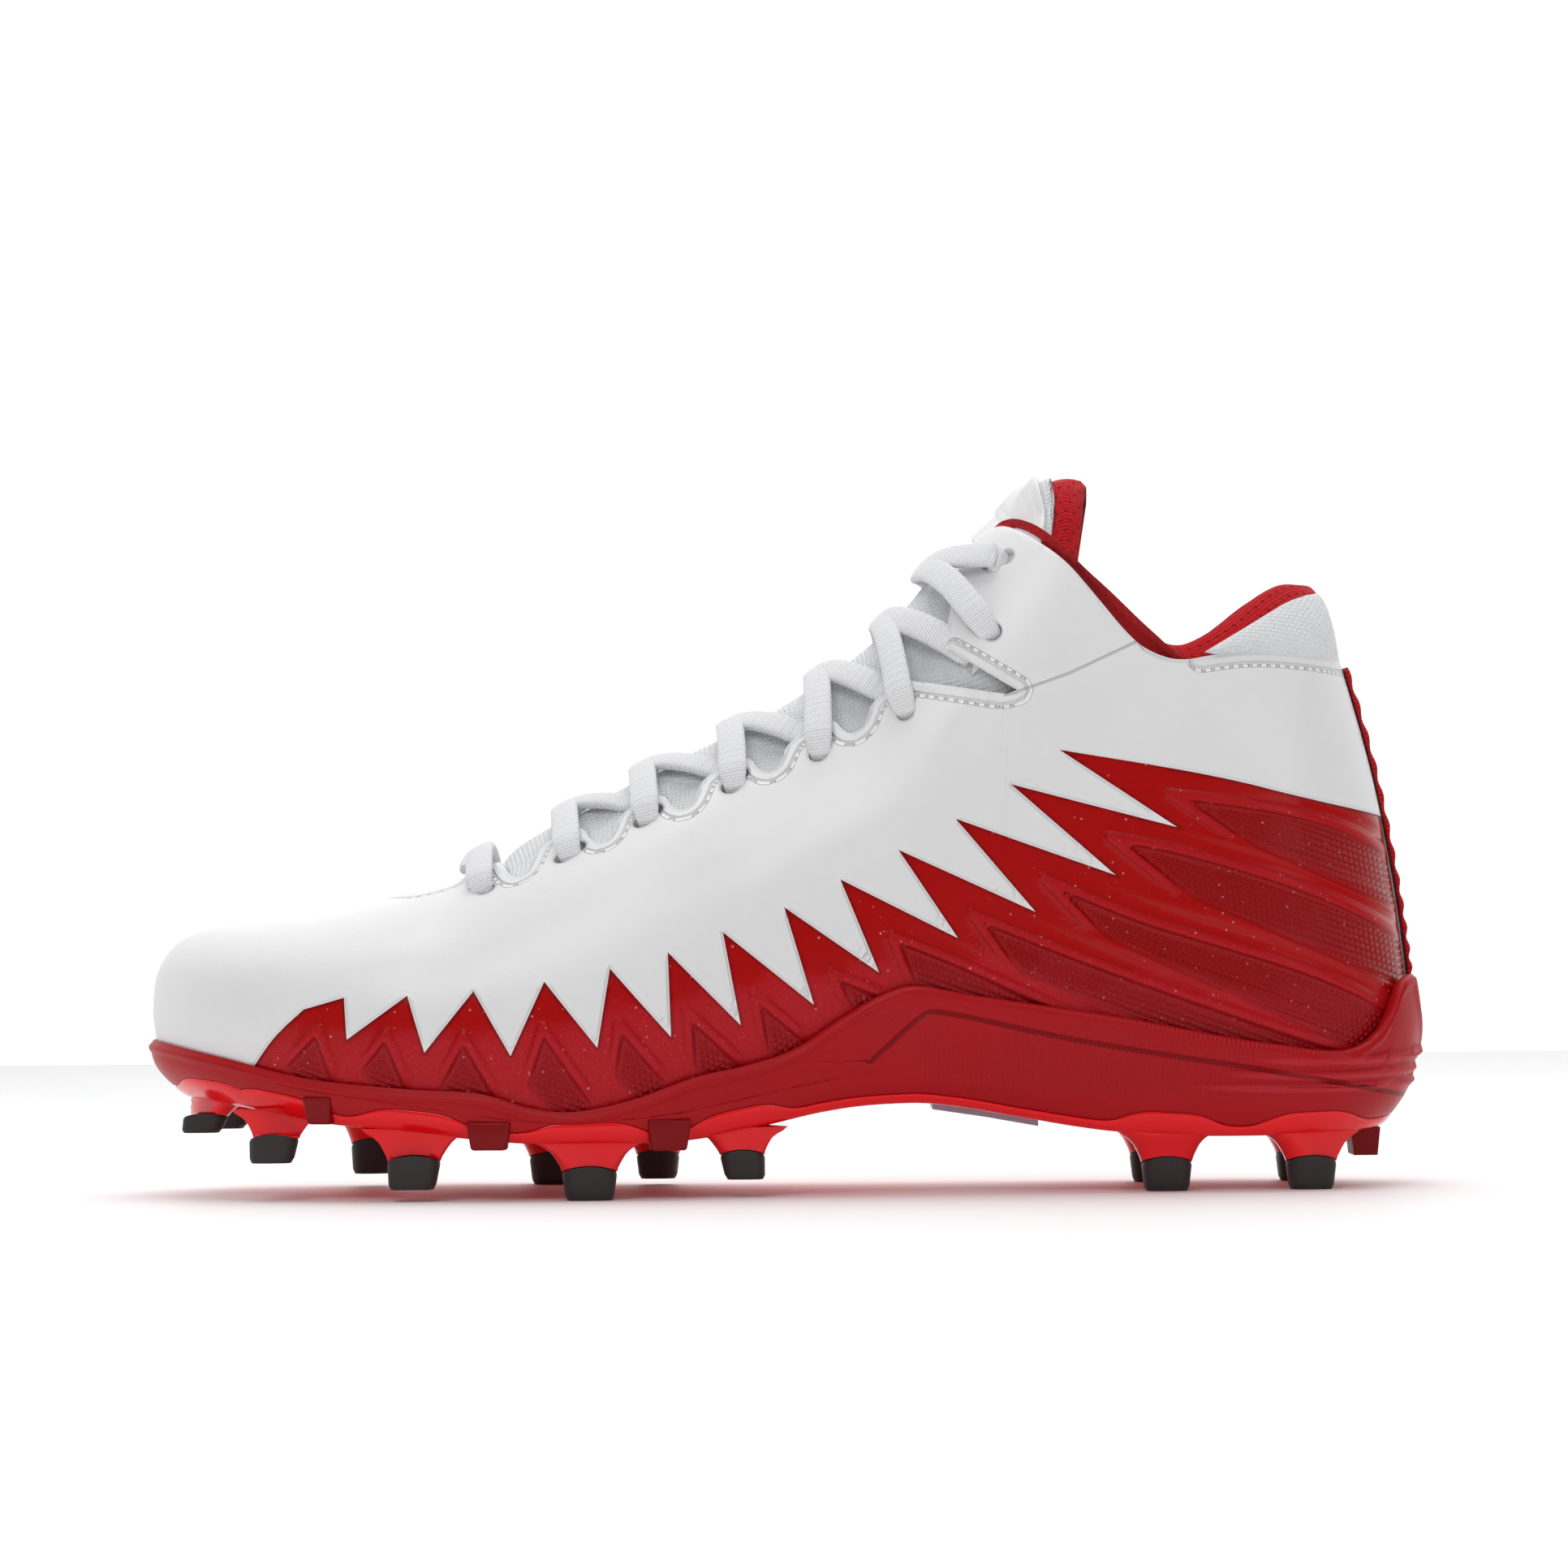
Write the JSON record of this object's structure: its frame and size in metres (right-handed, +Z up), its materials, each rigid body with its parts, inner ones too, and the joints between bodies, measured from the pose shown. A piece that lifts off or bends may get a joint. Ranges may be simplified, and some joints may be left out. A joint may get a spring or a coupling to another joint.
{
  "type": "american football cleat",
  "caption": "Mid-cut lace-up sports shoe for grass with a hollow synthetic upper, moulded saw-tooth side skins, a cupped midsole and a studded outsole plate; left foot.",
  "frame": {"origin": "on the floor, under the centre of the bounding box", "axes": "+X from the toe to the heel, -Y the outer (lateral) side of a left shoe, +Z up from the floor the studs stand on"},
  "size_m": [0.3046, 0.0986, 0.1721],
  "materials": {
    "white_synthetic": "satin synthetic leather",
    "moulded_red": "gloss, moulded over the textile",
    "midsole_red": "satin",
    "plate_red": "gloss",
    "black_tip": "matte",
    "white_mesh": "matte mesh",
    "red_knit": "matte knit",
    "red_webbing": "woven",
    "insole_foam": "matte",
    "white_lace": "woven, slight sheen",
    "pale_plastic": "satin"
  },
  "bodies": {
    "root": {"upper": "white_synthetic", "side_skin_outer": "moulded_red", "side_skin_inner": "moulded_red", "midsole": "midsole_red", "outsole_plate": "plate_red", "insole": "insole_foam", "tongue": "white_mesh", "tongue_lining": "red_knit", "collar_lining": "red_knit", "heel_collar_pad": "white_mesh", "heel_tape": "red_webbing", "toe_lug": "midsole_red", "heel_lug": "midsole_red", "arch_patch": "pale_plastic", "stud_tip_toe_outer": "black_tip", "stud_tip_toe_inner": "black_tip", "stud_tip_outer_1": "black_tip", "stud_tip_outer_2": "black_tip", "stud_tip_outer_3": "black_tip", "stud_tip_outer_4": "black_tip", "stud_tip_inner_1": "black_tip", "stud_tip_inner_2": "black_tip", "stud_tip_inner_3": "black_tip", "stud_tip_heel_outer_1": "black_tip", "stud_tip_heel_outer_2": "black_tip", "stud_tip_heel_inner_1": "black_tip", "stud_tip_heel_inner_2": "black_tip", "lace_bar_toe": "white_lace", "lace_cross_1": "white_lace", "lace_cross_2": "white_lace", "lace_cross_3": "white_lace", "lace_cross_4": "white_lace", "lace_cross_5": "white_lace", "lace_cross_6": "white_lace"}
  },
  "joints": []
}
